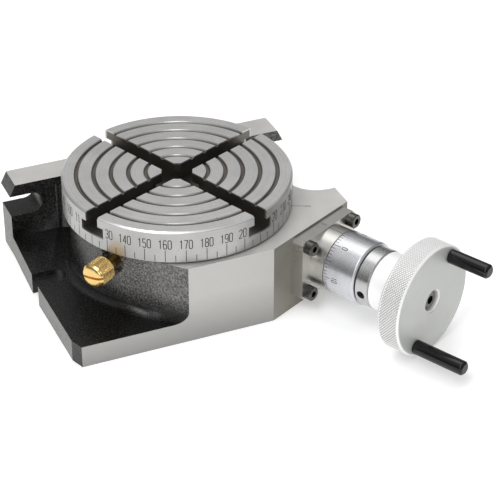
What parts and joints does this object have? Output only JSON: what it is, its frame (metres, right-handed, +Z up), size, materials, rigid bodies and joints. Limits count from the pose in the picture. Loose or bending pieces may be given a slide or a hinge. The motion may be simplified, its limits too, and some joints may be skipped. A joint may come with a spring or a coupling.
{
  "type": "rotary indexing table",
  "caption": "Small rotary indexing table with a T-slotted disc, worm and worm wheel, graduated dial, knurled handwheel with two handles and a table lock screw.",
  "frame": {"origin": "on the table's axis of rotation, in the plane of the base's underside", "axes": "+Z up along the table's axis, +X to the right along the machined front face, +Y to the back flange"},
  "size_m": [0.182, 0.1929, 0.0613],
  "materials": {
    "cast_body": "hammered grey-black paint with machined edges",
    "table_iron": "finely turned",
    "ground_steel": "ground",
    "turned_steel": "turned",
    "dial_steel": "turned satin with engraved marks",
    "dark_steel": "blackened",
    "key_steel": "plain",
    "bronze": "turned bronze",
    "brass": "knurled and turned",
    "wheel_aluminium": "satin, knurled rim",
    "handle_black": "glossy"
  },
  "bodies": {
    "base": {"base_casting": "cast_body", "bottom_cover": "turned_steel", "cover_screws": "dark_steel", "spindle_bush": "bronze", "table_thrust_washer": "bronze", "worm_carrier": "ground_steel", "carrier_screws": "dark_steel", "carrier_inner_bush": "bronze", "carrier_outer_bush": "bronze", "worm_end_bush": "bronze", "inner_thrust_washer": "bronze", "outer_thrust_washer": "bronze"},
    "table": {"table_disc": "table_iron", "worm_wheel": "bronze", "worm_wheel_key": "key_steel", "spindle_nut": "dark_steel", "nut_lock_screw": "dark_steel"},
    "worm": {"worm_shaft": "ground_steel", "handwheel": "wheel_aluminium", "handwheel_key": "key_steel", "handwheel_washer": "turned_steel", "handwheel_screw": "dark_steel", "long_handle": "handle_black", "short_handle": "handle_black", "dial_collar": "turned_steel", "collar_set_screw": "dark_steel"},
    "dial": {"graduated_dial": "dial_steel", "dial_spring": "key_steel"},
    "pad": {"lock_pad": "brass"},
    "lock": {"lock_screw": "brass"}
  },
  "joints": [
    {"name": "worm_spin", "type": "hinge", "parent": "base", "child": "worm", "pos_m": [0.02691, 0.01371, 0.023], "axis": [0.454, -0.891, 0], "continuous": true},
    {"name": "table_spin", "type": "hinge", "parent": "base", "child": "table", "pos_m": [0, 0, 0.041], "axis": [0, 0, 1], "continuous": true},
    {"name": "dial_spin", "type": "hinge", "parent": "worm", "child": "dial", "pos_m": [0.0655, -0.06202, 0.023], "axis": [0.454, -0.891, 0], "continuous": true},
    {"name": "lock_travel", "type": "slide", "parent": "base", "child": "pad", "axis": [-0.8387, -0.5446, 0], "range_m": [-0.0003, 0.002]},
    {"name": "lock_turn", "type": "hinge", "parent": "pad", "child": "lock", "pos_m": [-0.05032, -0.03268, 0.0335], "axis": [-0.8387, -0.5446, 0], "range_deg": [-112, 756]}
  ],
  "couplings": [
    {"joint": "table_spin", "follows": "worm_spin", "ratio": 0.013889},
    {"joint": "lock_turn", "follows": "lock_travel", "rad_per_m": 6283.2}
  ]
}
